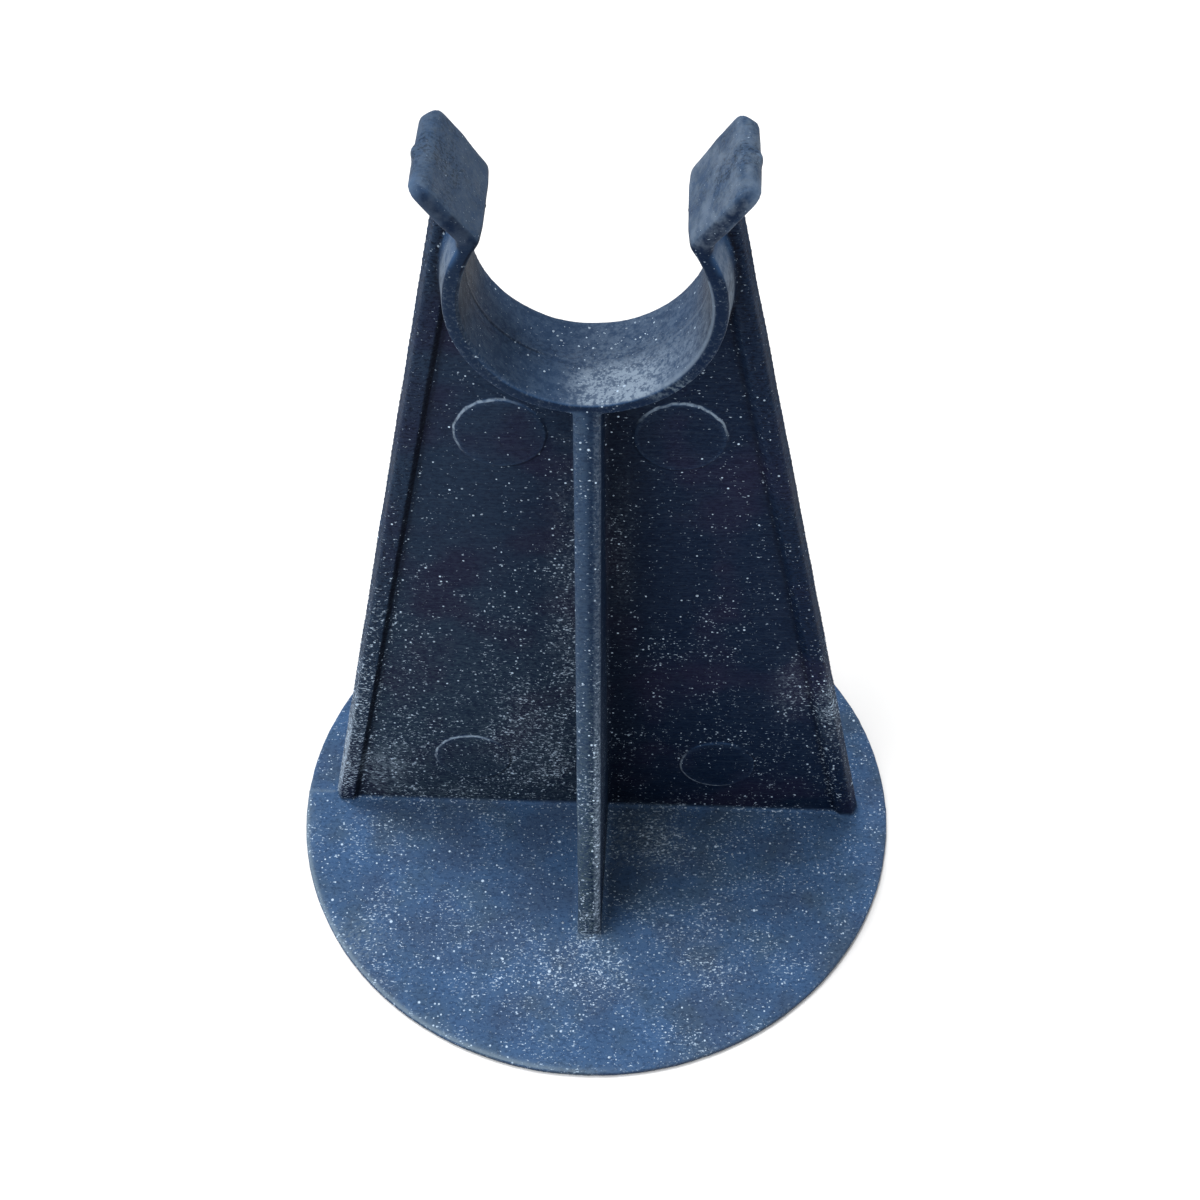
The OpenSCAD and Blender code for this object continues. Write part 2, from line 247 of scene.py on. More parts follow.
class Wiring:
    """Adds shader nodes to a tree and links them"""

    def __init__(self, tree):
        self.tree = tree

    def feed(self, socket, value):
        if isinstance(value, bpy.types.NodeSocket):
            self.tree.links.new(value, socket)
        else:
            socket.default_value = value

    def node(self, kind, inputs, **settings):
        made = self.tree.nodes.new("ShaderNode" + kind)
        for name, value in settings.items():
            setattr(made, name, value)
        for name, value in inputs.items():
            self.feed(made.inputs[name], value)
        return made.outputs

    def math(self, operation, first, second=0.0):
        return self.node("Math", {0: first, 1: second}, operation=operation)[0]

    def add(self, first, second):
        return self.math("ADD", first, second)

    def minus(self, first, second):
        return self.math("SUBTRACT", first, second)

    def times(self, first, second):
        return self.math("MULTIPLY", first, second)

    def over(self, first, second):
        return self.math("DIVIDE", first, second)

    def most(self, first, second):
        return self.math("MAXIMUM", first, second)

    def size(self, value):
        return self.math("ABSOLUTE", value)

    def total(self, *parts):
        """The sum of the masks, each times its share."""
        return reduce(self.add, [self.times(mask, part) for mask, part in parts])

    def strongest(self, *parts):
        """The strongest of the masks, each times its share."""
        return reduce(self.most, [self.times(mask, part) for mask, part in parts])

    def rise(self, value, span, to=(0.0, 1.0)):
        """Smooth step over a span of the value, from the first of to up to the last."""
        return self.node("MapRange", {"Value": value, "From Min": span[0], "From Max": span[1],
                                      "To Min": to[0], "To Max": to[1]},
                         interpolation_type="SMOOTHSTEP")["Result"]

    def fall(self, value, span, to=(0.0, 1.0)):
        """The same step, taken from the high end of the span to its low end."""
        return self.rise(value, span[::-1], to)

    def between(self, mask, to):
        """Smooth step from the first of to where the mask is 0 to the last where it is 1."""
        return self.rise(mask, (0, 1), to)

    def blend(self, factor, first, second):
        """Colour that goes from first to second."""
        made = self.node("Mix", {"Factor": factor}, data_type="RGBA")[0].node
        self.feed(made.inputs[6], first)
        self.feed(made.inputs[7], second)
        return made.outputs[2]

    def vector(self, operation, first, second=(0, 0, 0)):
        return self.node("VectorMath", {0: first, 1: second}, operation=operation)

    def stretch(self, at, scale, turn=(0, 0, 0)):
        return self.node("Mapping", {"Vector": at, "Scale": scale, "Rotation": turn})[0]

    def noise(self, at, size, detail=2.0, roughness=0.5):
        """Noise between 0 and 1 with features of that size, in millimetres."""
        return self.node("TexNoise", {"Vector": at, "Scale": 1 / size, "Detail": detail,
                                      "Roughness": roughness})["Fac"]

    def patches(self, at, size, span, to=(0.0, 1.0), detail=2.0, roughness=0.5):
        """Patches of that size, which grow as the noise goes through a span of its values."""
        return self.rise(self.noise(at, size, detail, roughness), span, to)

    def parts(self, vector):
        return tuple(self.node("SeparateXYZ", {0: vector}))

    def group(self, tree, **values):
        made = self.tree.nodes.new("ShaderNodeGroup")
        made.node_tree = tree
        for name, value in values.items():
            self.feed(made.inputs[name], value)
        return made.outputs


# ---------------------------------------------------------------- effects

def effect(name, inputs, outputs, wire):
    """Node group of that name; wire makes its outputs from its inputs."""
    group = bpy.data.node_groups.get(name)
    if group is None:
        group = bpy.data.node_groups.new(name, "ShaderNodeTree")
        for label, kind, default in inputs:
            socket = group.interface.new_socket(label, in_out="INPUT", socket_type=kind)
            socket.default_value = default
        for label, kind in outputs:
            group.interface.new_socket(label, in_out="OUTPUT", socket_type=kind)
        start = group.nodes.new("NodeGroupInput")
        end = group.nodes.new("NodeGroupOutput")
        for label, made in wire(Wiring(group), start.outputs).items():
            group.links.new(made, end.inputs[label])
    return group


# girth of the specks as a share of their radius, and the soft edge round each
SPECK_GIRTH = (0.45, 1.0)
SPECK_EDGE = (0.6, 1.1)


def speck_layer():
    """Round grains scattered through space, one to a cell, cut by the surface."""
    def wire(w, given):
        cells = w.node("TexVoronoi", {"Vector": given["Place"],
                                      "Scale": w.over(1.0, given["Spacing"])})
        chance, girth, tone = w.parts(cells["Color"])
        reach = w.over(given["Radius"], given["Spacing"])
        reach = w.times(reach, w.between(girth, SPECK_GIRTH))
        grain = w.fall(w.over(cells["Distance"], reach), SPECK_EDGE)
        chosen = w.math("LESS_THAN", chance, given["Density"])
        return {"Mask": w.times(grain, chosen), "Tone": tone}
    return effect("speck_layer",
                  [("Place", VECTOR, (0, 0, 0)), ("Spacing", VALUE, 1.0),
                   ("Radius", VALUE, 0.15), ("Density", VALUE, 0.5)],
                  [("Mask", VALUE), ("Tone", VALUE)], wire)


# how a blot thins out, as a share of its reach
BLOT_EDGE = (0.0, 1.1)


def drift():
    """Soft blot around a centre; Torn breaks up its edge."""
    def wire(w, given):
        away = w.vector("SUBTRACT", given["Place"], given["Centre"])[0]
        away = w.vector("DIVIDE", away, given["Reach"])[0]
        away = w.vector("LENGTH", away)["Value"]
        return {"Mask": w.fall(w.add(away, given["Torn"]), BLOT_EDGE)}
    return effect("drift",
                  [("Place", VECTOR, (0, 0, 0)), ("Centre", VECTOR, (0, 0, 0)),
                   ("Reach", VECTOR, (1, 1, 1)), ("Torn", VALUE, 0.0)],
                  [("Mask", VALUE)], wire)


# shape of the flecks, the noise level above which they show, how density lowers that level
# and how soft their edge is
FLECK_STRETCH = (0.6, 1.1, 1.15)
FLECK_LEVEL = 0.69
FLECK_GAIN = 0.15
FLECK_EDGE = (0.0, 0.05)


def flecks():
    """Fine uneven flecks; Density sets how much of the surface they cover."""
    def wire(w, given):
        fine = w.noise(w.stretch(given["Place"], FLECK_STRETCH), size=0.38, roughness=0.7)
        level = w.minus(FLECK_LEVEL, w.times(given["Density"], FLECK_GAIN))
        cover = w.rise(w.minus(fine, level), FLECK_EDGE)
        bright = w.patches(given["Place"], size=0.9, detail=1.0, span=(0.35, 0.68), to=(0.22, 1.0))
        return {"Mask": w.times(cover, bright), "Fine": fine}
    return effect("flecks", [("Place", VECTOR, (0, 0, 0)), ("Density", VALUE, 0.5)],
                  [("Mask", VALUE), ("Fine", VALUE)], wire)


# how far a rim wavers, half its width in millimetres, and the turn of its two arcs
RIM_WAVER = (-0.12, 0.12)
RIM_HALF = (0.08, 0.25)
RIM_LIT = (0.1, 0.8)
RIM_SHADED = (-0.8, -0.2)


def mark_rim():
    """Thin rim of a round mark on an upright face: its lit arc and its shaded arc, painted as
    highlight and shade.
    """
    def wire(w, given):
        away = w.vector("SUBTRACT", given["Place"], given["Centre"])[0]
        away = w.vector("MULTIPLY", away, (1, 0, 1))[0]
        span = w.vector("LENGTH", away)["Value"]
        lean = w.over(w.vector("DOT_PRODUCT", away, given["Way"])["Value"], given["Radius"])
        off = w.minus(span, given["Radius"])
        off = w.add(off, w.patches(given["Place"], size=2.0, span=(0.3, 0.7), to=RIM_WAVER))
        line = w.fall(w.size(off), RIM_HALF)
        broken = w.patches(given["Place"], size=0.8, span=(0.38, 0.55), to=(0.45, 1.0))
        lit = w.times(w.times(line, broken), w.rise(lean, RIM_LIT))
        return {"Lit": lit, "Shaded": w.times(line, w.fall(lean, RIM_SHADED))}
    return effect("mark_rim",
                  [("Place", VECTOR, (0, 0, 0)), ("Centre", VECTOR, (0, 0, 0)),
                   ("Radius", VALUE, 6.0), ("Way", VECTOR, (0, 0, 1))],
                  [("Lit", VALUE), ("Shaded", VALUE)], wire)


def moulded_grain():
    """Fine uneven skin of moulded plastic: its height and its tone."""
    def wire(w, given):
        fine = w.noise(given["Place"], size=0.32, detail=3.0, roughness=0.6)
        broad = w.noise(given["Place"], size=2.6)
        tone = w.noise(given["Place"], size=9.0, detail=3.0, roughness=0.55)
        return {"Height": w.total((fine, 0.75), (broad, 0.5)), "Tone": tone}
    return effect("moulded_grain", [("Place", VECTOR, (0, 0, 0))],
                  [("Height", VALUE), ("Tone", VALUE)], wire)


# ---------------------------------------------------------------- places on the body

# spans where the parts of the body begin and end, in millimetres
PLATE_TOP = (2.2, 3.0)
LOW_PART = (12, 85)
UPRIGHT_FACE = (1.6, 3.2)
FLUTE_LINE = (38, 41)
FLANGE_LINE = (42.5, 44.5)
FLANK_SIDE = (-15, -10)
FIN_SIDE = (2.4, 2.8)
FIN_ROOT = (2.0, 4.0)
FIN_HALVES = (-0.9, 0.7)
RIGHT_SIDE = (-6, 9)
FRONT_SIDE = (-6, 5)
RING_FACE = (7.6, 8.1)
SHOULDER_ROOT = (1.6, 2.4)

# the same, as heights over the axis of the bar
FIN_TOP = (-18, -17)
EARS_FOOT = (9.5, 11)
BORE_TOP = (10, 12)
RING_TOP = (9, 10)
SHOULDER_FOOT = (-6, 0)
SHOULDER_TOP = (8, 10)

# the same, as distances outside the wall of the bore
BORE_WALL = (0.15, 0.5)
RING_WALL = (3.5, 4)
SHOULDER_INSIDE = (1.5, 1.9)
SHOULDER_OUTSIDE = (2.6, 3)

# how far faces turn to the side or to the front, as parts of a unit normal
FLANK_TURN = (0.25, 0.6)
FIN_TURN = (0.15, 0.45)
SHOULDER_TURN = (0.3, 0.6)

# how much nearer the upright's flutes and its flange's outer side come per unit of height
FLUTE_TAPER = 0.198
FLANGE_TAPER = 0.225


def shifted(span, by):
    return tuple(end + by for end in span)


def in_millimetres(w):
    """The place on the piece, in millimetres."""
    return w.stretch(w.node("TexCoord", {})["Object"], (1 / MM,) * 3)


class Surface:
    """What the plastic knows of each point: its place, its way, its wear and its part"""

    def __init__(self, w):
        self.at = in_millimetres(w)
        self.x, self.y, self.z = w.parts(self.at)
        self.way_x, self.way_y, self.way_z = w.parts(w.node("NewGeometry", {})["Normal"])
        self.edge = w.node("Attribute", {}, attribute_name="edge")["Fac"]
        self.hollow = w.node("Attribute", {}, attribute_name="hollow")["Fac"]
        self.grain = w.group(moulded_grain(), Place=self.at)
        self.mottle = w.patches(self.at, size=1.3, detail=4.0, roughness=0.75, span=(0.36, 0.66))
        self.find_upright(w)
        self.find_seat(w)

    def find_upright(self, w):
        """Masks of the base plate and of the upright, with its flutes and flanges."""
        self.plate = w.fall(self.z, PLATE_TOP)
        self.above = w.rise(self.z, PLATE_TOP)
        self.low = w.times(w.fall(self.z, LOW_PART), self.above)
        self.right = w.rise(self.x, RIGHT_SIDE)
        self.front = w.fall(self.y, FRONT_SIDE)
        self.upright = w.times(w.fall(w.size(self.y), UPRIGHT_FACE), self.above)
        outward = w.add(w.size(self.x), w.times(self.z, FLUTE_TAPER))
        self.flute = w.rise(outward, FLUTE_LINE)
        self.flange = w.times(w.rise(outward, FLANGE_LINE), self.above)
        # inner side of the left flange, where painted shade is laid
        turned = w.times(w.fall(self.x, FLANK_SIDE), w.rise(self.way_x, FLANK_TURN))
        self.flank = w.times(w.times(self.flute, self.above), turned)

    def find_seat(self, w):
        """Masks of the fins' outer edges and of the seat: bore, ring, its shoulders, ears."""
        seat = clamp_mount()
        axis, bore = seat["pos_m"][2] / MM, seat["dims"]["r_mm"]
        level = w.node("CombineXYZ", {"X": self.x, "Y": w.minus(self.z, axis)})[0]
        away = w.vector("LENGTH", level)["Value"]
        depth, turn = w.size(self.y), w.size(self.way_y)
        fins = w.times(w.fall(w.size(self.x), FIN_SIDE), w.rise(turn, FIN_TURN))
        under = w.times(w.rise(depth, FIN_ROOT), w.fall(self.z, shifted(FIN_TOP, axis)))
        self.fins = w.times(fins, under)
        self.ears = w.rise(self.z, shifted(EARS_FOOT, axis))
        self.bore = w.times(w.fall(away, shifted(BORE_WALL, bore)),
                            w.fall(self.z, shifted(BORE_TOP, axis)))
        ring = w.times(w.fall(away, shifted(RING_WALL, bore)), w.rise(depth, RING_FACE))
        self.ring = w.times(ring, w.fall(self.z, shifted(RING_TOP, axis)))
        shoulder = w.times(w.rise(away, shifted(SHOULDER_INSIDE, bore)),
                           w.fall(away, shifted(SHOULDER_OUTSIDE, bore)))
        upper = w.times(w.rise(depth, SHOULDER_ROOT), w.rise(self.z, shifted(SHOULDER_FOOT, axis)))
        shoulder = w.times(w.times(shoulder, upper), w.fall(self.z, shifted(SHOULDER_TOP, axis)))
        self.shoulder = w.times(shoulder, w.fall(turn, SHOULDER_TURN))


# ---------------------------------------------------------------- materials

# centre, reach and strength of each place where dust or dried wash gathers
DUST_BLOTS = [
    ((-10, -1, 20), (11, 3, 22), 0.62), ((33, -1, 39), (5, 3, 11), 0.9),
    ((41, -2, 38), (4, 4, 17), 0.8), ((-4, -35, 2), (20, 12, 3), 0.65),
    ((12, -9, 2), (11, 8, 3), 0.7), ((-3.5, -1, 60), (5, 3, 48), 0.75),
    ((1.4, -16, 30), (1.5, 14, 40), 0.7), ((-38, -32, 2), (14, 14, 3), 0.5),
    ((-43, -2, 30), (5, 4, 28), 0.45), ((-37, -1, 12), (9, 3, 12), 0.6),
    ((20, -32, 2), (16, 10, 3), 0.5), ((4.5, -1, 72), (3, 3, 24), 0.45),
]

SMEAR_BLOTS = [
    ((-39, -1, 11), (7, 3, 9), 1.0), ((-45, -2, 14), (2.5, 4, 10), 0.4),
    ((0, -27, 6), (1.4, 4, 8), 0.8), ((12, -8.3, 114), (7, 1, 3), 0.8),
    ((40, -2, 36), (3, 4, 12), 0.6), ((-26, -1, 5), (9, 2, 3), 0.4),
    ((8, -8, 2), (13, 9, 3), 0.7), ((-41, -30.5, 2), (7, 5, 3), 0.75),
]

# centre, radius and the way that its lit edge faces, for each ejector pin mark
PIN_MARKS = [
    ((-12.8, 98), 6.6, (-0.75, 0.65)), ((12.8, 98), 6.6, (0.2, 0.95)),
    ((-21.8, 16.1), 6.6, (-0.5, 0.85)), ((21.8, 16.1), 6.6, (-0.75, -0.65)),
]

# spacing and radius of each layer of specks, in millimetres, and its share of the density
SPECK_LAYERS = [(1.0, 0.2, 1.1), (2.2, 0.32, 0.5)]

# noise levels between which the tone of the moulded skin goes from dark to light
SKIN_TONES = (0.3, 0.7)

# how far the edges of blots are torn, and how the dried wash runs
TEAR = 1.1
WASH_TURN = (0, -0.5, -0.55)
WASH_STRETCH = (0.3, 1.4, 1.6)


def opaque(value):
    return (*value, 1.0)


def new_material(name):
    """A material, what wires it and its shader."""
    material = bpy.data.materials.new(name)
    material.use_nodes = True
    tree = material.node_tree
    return material, Wiring(tree), tree.nodes["Principled BSDF"]


def plastic():
    """Faded moulded plastic with rubbed faces, worn edges and cement dust, and with light and shade
    painted into its colour.
    """
    material, w, shader = new_material("moulded_plastic")
    finish, wear = chair().finish, chair().wear
    here = Surface(w)
    torn = w.times(w.minus(w.noise(here.at, size=3.0, detail=3.0), 0.5), TEAR)
    dusty = blots(w, here, torn, DUST_BLOTS)
    film = dust_film_and_highlights(w, here, dusty)
    specks, fine = grains_of_dust(w, here, dusty)
    light, dark = mark_lines(w, here)
    layers = [
        *upright_tones_and_shade(w, here), *faded_and_lit_tones(w, here), *rubbed_tones(w, here),
        *seat_shade_and_highlights(w, here),
        (finish.smear_and_highlight, w.times(dried_wash(w, here, torn), wear.wash)),
        # dust film, with the painted highlights on the bore's lip and the ring's shoulders
        (finish.dust, film),
        # painted highlight and painted shade on the arcs round the pin marks
        (finish.speck_and_highlight, w.times(light, wear.lit_rims)),
        (finish.pit_and_shade, w.times(dark, wear.dark_rims)),
        (finish.speck_and_highlight, specks),
    ]
    base = opaque(finish.deep)
    for tone, mask in layers:
        base = w.blend(mask, base, opaque(tone))
    w.feed(shader.inputs["Base Color"], base)

    dull = w.times(w.most(film, specks), wear.dusty_roughness)
    gloss = w.rise(here.grain["Tone"], SKIN_TONES, (wear.least_roughness, wear.most_roughness))
    w.feed(shader.inputs["Roughness"], w.most(gloss, dull))
    w.feed(shader.inputs["Specular IOR Level"], wear.shine)
    relief = w.total((here.grain["Height"], wear.grain_relief), (fine, wear.dust_relief))
    bump = w.node("Bump", {"Height": relief, "Distance": MM, "Strength": wear.relief})[0]
    w.feed(shader.inputs["Normal"], bump)
    return material


# spans across the body where its tones change, in millimetres
# painted light: span over which the upright is painted paler towards its left
LIT_SIDE_SPAN = (-26, 14)
# painted shadow: where the fin's shadow band begins and ends across the upright
SHADE_START = (1.5, 2.5)
SHADE_END = (3, 12)
# painted shade: span over which the ring's faces darken towards the right
RING_SHADE_SIDE = (-14, -2)

# brush marks run from side to side
BRUSH_STRETCH = (0.25, 1.0, 3.2)


def upright_tones_and_shade(w, here):
    """Colours and masks of the upright and the ring, from the bottom up: random tint and brush
    marks, painted light on the upright's left, and painted shade beside the fin, on the ring's right
    and in the flanges' corners.
    """
    finish, wear = chair().finish, chair().wear
    tint = w.times(w.patches(here.at, size=16.0, span=(0.48, 0.66)), here.upright)
    brushed = w.patches(w.stretch(here.at, BRUSH_STRETCH), size=1.0, detail=4.0, roughness=0.7,
                        span=(0.44, 0.68))
    brushed = w.times(brushed, w.most(here.upright, here.ring))
    # painted shadow: dark band that the fin casts on the upright's front, right of the fin
    shade = w.times(w.fall(here.x, SHADE_END), w.rise(here.x, SHADE_START))
    shade = w.times(shade, w.times(here.upright, here.front))
    # painted shade along the flanges' inner corners
    groove_shade = w.times(w.times(here.hollow, here.upright), here.flute)
    return [
        # painted light on the upright's left
        (finish.lit_side_blue, w.fall(here.x, LIT_SIDE_SPAN)),
        (finish.violet, w.times(tint, wear.tint)),
        (finish.grey, w.times(brushed, wear.brushing)),
        # painted shadow of the fin
        (finish.pit_and_shade, w.times(shade, wear.shade)),
        # painted shade: the ring's faces painted darker, most towards the right
        (finish.deep, w.times(here.ring, w.rise(here.x, RING_SHADE_SIDE, to=(0.45, 0.85)))),
        # painted shade in the flanges' inner corners and on the left flange's inner side
        (finish.pit_and_shade, w.strongest((groove_shade, wear.groove_shade), (here.flank, wear.flank))),
    ]


# how far faces turn to the sky as they fade and take painted skylight, as parts of a unit normal
SKYWARD = (0.08, 0.62)
PLATE_SKYWARD = (-0.1, 0.4)

# moves a second noise away from the first, in millimetres
ASIDE = (40, 0, 0)


def faded_and_lit_tones(w, here):
    """Colours and masks of the plastic that faces the sky, sun-faded and painted as lit, with the
    base plate's clouds.
    """
    finish, wear = chair().finish, chair().wear
    # fading held back in the upright's hollows, the bore and the ears: sun shelter, and painted
    # shade in the hollows
    sheltered = w.strongest((here.hollow, w.times(here.upright, 0.8)), (here.bore, 0.4),
                            (here.ears, 0.35))
    # painted highlight: edges painted paler, less so on the ring and the flanges
    edges = w.between(w.most(here.ring, here.flange), to=(0.22, 0.05))
    # sun fading and painted skylight on faces that turn up, and on the base plate
    fade = w.strongest((w.rise(here.way_z, SKYWARD), w.minus(1.0, sheltered)),
                       (here.plate, w.rise(here.way_z, PLATE_SKYWARD, to=(0.1, 0.75))),
                       # painted light: the fins' left halves painted paler, as they face the light
                       # from the left
                       (here.fins, w.fall(here.x, FIN_HALVES, to=(0.06, 0.42))),
                       (here.edge, edges))
    dusk = w.patches(w.vector("ADD", here.at, ASIDE)[0], size=11.0, detail=3.0, span=(0.42, 0.64))
    scour = w.patches(here.at, size=8.0, detail=3.0, span=(0.45, 0.65))
    return [
        (finish.faded_and_lit, w.times(fade, w.rise(here.grain["Tone"], SKIN_TONES, to=(0.8, 1.05)))),
        (finish.dusk, w.times(here.plate, w.times(dusk, wear.dusk_clouds))),
        (finish.scour, w.times(here.plate, w.times(scour, wear.scour_clouds))),
    ]


# how far the ears' faces turn from level to frontal, as parts of a unit normal
EAR_TURN = (0.5, 0.8)

# where the scoured left of the upright begins, in millimetres
SCOUR_SIDE = (0, 3)

# scour marks run a little from side to side
SCOUR_STRETCH = (0.65, 1.0, 1.35)


def rubbed_tones(w, here):
    """Colours and masks of the rubbed, the scoured and the pitted plastic."""
    finish = chair().finish
    level = w.fall(w.size(here.way_y), EAR_TURN, to=(0.0, 0.8))
    # the fins' left halves are also greyed, as part of their painted light
    greyer = w.total((here.ears, level), (here.bore, 0.55),
                     (here.fins, w.fall(here.x, FIN_HALVES, to=(0, 0.55))), (here.plate, 0.15))
    marks = w.noise(w.stretch(here.at, SCOUR_STRETCH), size=0.5, detail=3.0, roughness=0.8)
    scoured = w.add(w.fall(here.x, SCOUR_SIDE, to=(0, 0.4)), w.times(here.fins, 0.35))
    scoured = w.times(w.minus(scoured, w.times(here.flange, 0.3)), here.low)
    scoured = w.add(scoured, w.total((here.plate, 0.1), (here.fins, 0.1)))
    everywhere = 0.06
    scoured = w.add(scoured, everywhere)
    pitted = w.total((here.upright, 0.3), (here.flange, 0.35), (here.fins, 0.3), (here.plate, 0.34))
    return [
        (finish.grey, w.times(greyer, w.between(here.mottle, to=(0.6, 1.0)))),
        (finish.scour, w.times(scoured, w.rise(marks, span=(0.44, 0.62)))),
        (finish.pit_and_shade, w.times(pitted, w.fall(marks, span=(0.4, 0.52)))),
    ]


# the crease where the mould parts, in the left of the seat, in millimetres; there it is painted dark
# as shade
CREASE_Y = -0.15
CREASE_HALF = (0.1, 0.3)
CREASE_SIDE = (-8, -4)

# where the base plate's rim and the ears' corners take a painted highlight, in millimetres
RIM_SIDE = (-14, 12)
CORNER_OUT = (18.5, 21)
CORNER_FRONT = (-6.5, -3.5)

# how far the ears' fronts and the rim turn to the front and to the sky
EAR_FRONT = (-0.65, -0.35)
RIM_SKYWARD = (0.4, 0.7)


def seat_shade_and_highlights(w, here):
    """Colours and masks of the seat's crease, the ears' faces and corners and the plate's rim:
    painted shade on the crease and the ears' fronts, random dark mottling, and painted highlights on
    the rim and the ears' corners.
    """
    finish, wear = chair().finish, chair().wear
    # painted shade: a dark line along the mould seam, in the left of the seat
    crease = w.fall(w.size(w.add(here.y, -CREASE_Y)), CREASE_HALF)
    crease = w.times(w.times(crease, here.bore), w.fall(here.x, CREASE_SIDE))
    mottled = w.times(w.fall(here.mottle, (0, 1)), w.add(w.times(here.ears, 0.4), here.bore))
    # painted shade: the ears' front faces painted darker
    front_shade = w.times(here.ears, w.fall(here.way_y, EAR_FRONT))
    # painted highlight along the front left of the base plate's rim
    rim = w.times(w.times(here.edge, here.plate), w.fall(here.x, RIM_SIDE))
    rim = w.times(rim, w.times(here.front, w.rise(here.way_z, RIM_SKYWARD)))
    # painted highlight: the ears' outer front corners and their edges painted paler
    corner = w.times(w.rise(w.size(here.x), CORNER_OUT), w.fall(here.y, CORNER_FRONT))
    corner = w.times(w.most(corner, w.times(here.edge, 0.45)), here.ears)
    return [
        (finish.pit_and_shade, w.times(crease, wear.crease)),
        (finish.deep, w.times(mottled, wear.mottling)),
        (finish.deep, w.times(front_shade, wear.ear_front_shade)),
        (finish.smear_and_highlight, w.times(rim, wear.rim)),
        (finish.highlight_blue, w.times(corner, wear.ear_corner_highlight)),
    ]


def blots(w, here, torn, spots):
    """Mask of torn blots, each round its own place."""
    mask = 0.0
    for centre, reach, power in spots:
        blot = w.group(drift(), Place=here.at, Centre=centre, Reach=reach, Torn=torn)
        mask = w.most(mask, w.times(blot["Mask"], power))
    return mask


def dried_wash(w, here, torn):
    """Smears that ran down and to the side."""
    turned = w.stretch(here.at, (1, 1, 1), WASH_TURN)
    runs = w.patches(w.stretch(turned, WASH_STRETCH), size=0.8, detail=3.0, roughness=0.7,
                     span=(0.45, 0.62))
    return w.times(blots(w, here, torn, SMEAR_BLOTS), runs)


def mark_lines(w, here):
    """Lit and shaded arcs along the rims of the ejector pin marks: painted highlight and painted
    shade.
    """
    light, dark = 0.0, 0.0
    for (x, z), radius, (way_x, way_z) in PIN_MARKS:
        rim = w.group(mark_rim(), Place=here.at, Centre=(x, 0, z), Radius=radius,
                      Way=(way_x, 0, way_z))
        light = w.most(light, rim["Lit"])
        dark = w.most(dark, rim["Shaded"])
    front = w.times(here.upright, here.front)
    return w.times(light, front), w.times(dark, front)


# where dust lies in the seat and the middle of its heap, in millimetres
SEAT_LEFT = (-5, 2)
SEAT_RIGHT = (7, 15)
HEAP_X = 3.5
HEAP_REACH = (1, 8)
HEAP_FRONT = (-5, 0.5)

# where it clings to the left flange's outer side and to the fin's right half
FOOT_LINE = (47.85, 48.15)
FOOT_HALF = (4.2, 4.6)
FOOT_TOP = (22, 36)
STRIP_SIDE = (0.6, 1.3)

# dust on the ears lies in streaks from front to back
EAR_STRETCH = (1.0, 0.5, 1.0)


def seat_dust(w, here, fine, broad):
    """Dust on the right of the seat, with a heap at its front."""
    patchy = w.rise(w.add(w.times(fine, 0.9), broad), span=(0.75, 1.15))
    across = w.times(w.rise(here.x, SEAT_LEFT), w.fall(here.x, SEAT_RIGHT, to=(0.45, 1.0)))
    seat = w.times(w.times(here.bore, across), w.between(here.front, to=(0.3, 1.0)))
    thin = 0.12
    seat = w.times(seat, w.add(w.times(patchy, 0.6), thin))
    heap = w.times(w.fall(w.size(w.add(here.x, -HEAP_X)), HEAP_REACH), w.fall(here.y, HEAP_FRONT))
    heap = w.times(heap, here.bore)
    return w.add(seat, w.times(heap, w.rise(patchy, span=(0.2, 0.8), to=(0.12, 0.72))))


def ear_dust(w, here):
    """Streaks of dust on the ears, most on the right one."""
    streaks = w.patches(w.stretch(here.at, EAR_STRETCH), size=2.2, detail=4.0, roughness=0.65,
                        span=(0.36, 0.68))
    return w.times(w.times(here.ears, w.between(here.right, to=(0.12, 0.34))), streaks)


def foot_dust(w, here, broad):
    """Dust that clings to the foot of the left flange's outer side."""
    outer = w.rise(w.total((here.x, -1), (here.z, FLANGE_TAPER)), FOOT_LINE)
    foot = w.times(w.times(outer, here.above), w.fall(w.size(here.y), FOOT_HALF))
    patchy = w.rise(broad, span=(0.36, 0.62), to=(0.1, 0.75))
    return w.times(foot, w.times(w.fall(here.z, FOOT_TOP), patchy))


def dust_film_and_highlights(w, here, dusty):
    """How thick the film of dust lies, with painted highlights on the bore's right front lip and on
    the ring's shoulders.
    """
    fine = w.noise(here.at, size=0.45, detail=3.0, roughness=0.7)
    broad = w.noise(here.at, size=1.3, detail=4.0, roughness=0.75)
    seat = seat_dust(w, here, fine, broad)
    rough = w.times(here.edge, w.rise(fine, span=(0.5, 0.72), to=(0, 0.35)))
    rough = w.times(rough, w.between(w.most(here.ears, here.flange), to=(1, 0.3)))
    strip = w.times(here.fins, w.rise(here.x, STRIP_SIDE))
    strip = w.times(strip, w.between(here.low, to=(0.3, 1.0)))
    strip = w.times(strip, w.rise(fine, span=(0.44, 0.6), to=(0.15, 0.85)))
    blown = w.most(strip, w.times(dusty, w.rise(fine, span=(0.48, 0.62), to=(0.02, 0.25))))
    film = w.most(w.most(seat, ear_dust(w, here)), w.most(rough, blown))
    # painted highlight along the bore's right front lip, in the dust colour
    lip_highlight = w.times(w.times(here.edge, here.bore), w.times(here.right, here.front))
    film = w.most(film, w.most(w.times(lip_highlight, 0.6), foot_dust(w, here, broad)))
    # painted highlight on the ring's shoulders, in the dust colour
    return w.most(film, w.times(here.shoulder, w.rise(broad, span=(0.35, 0.6), to=(0.2, 0.55))))


# where specks gather at the low left and up the left flange, in millimetres
SPECK_SIDE = (-2, 2)
SPECK_FLANGE = (-10, 0)
SPECK_TOP = (60, 112)


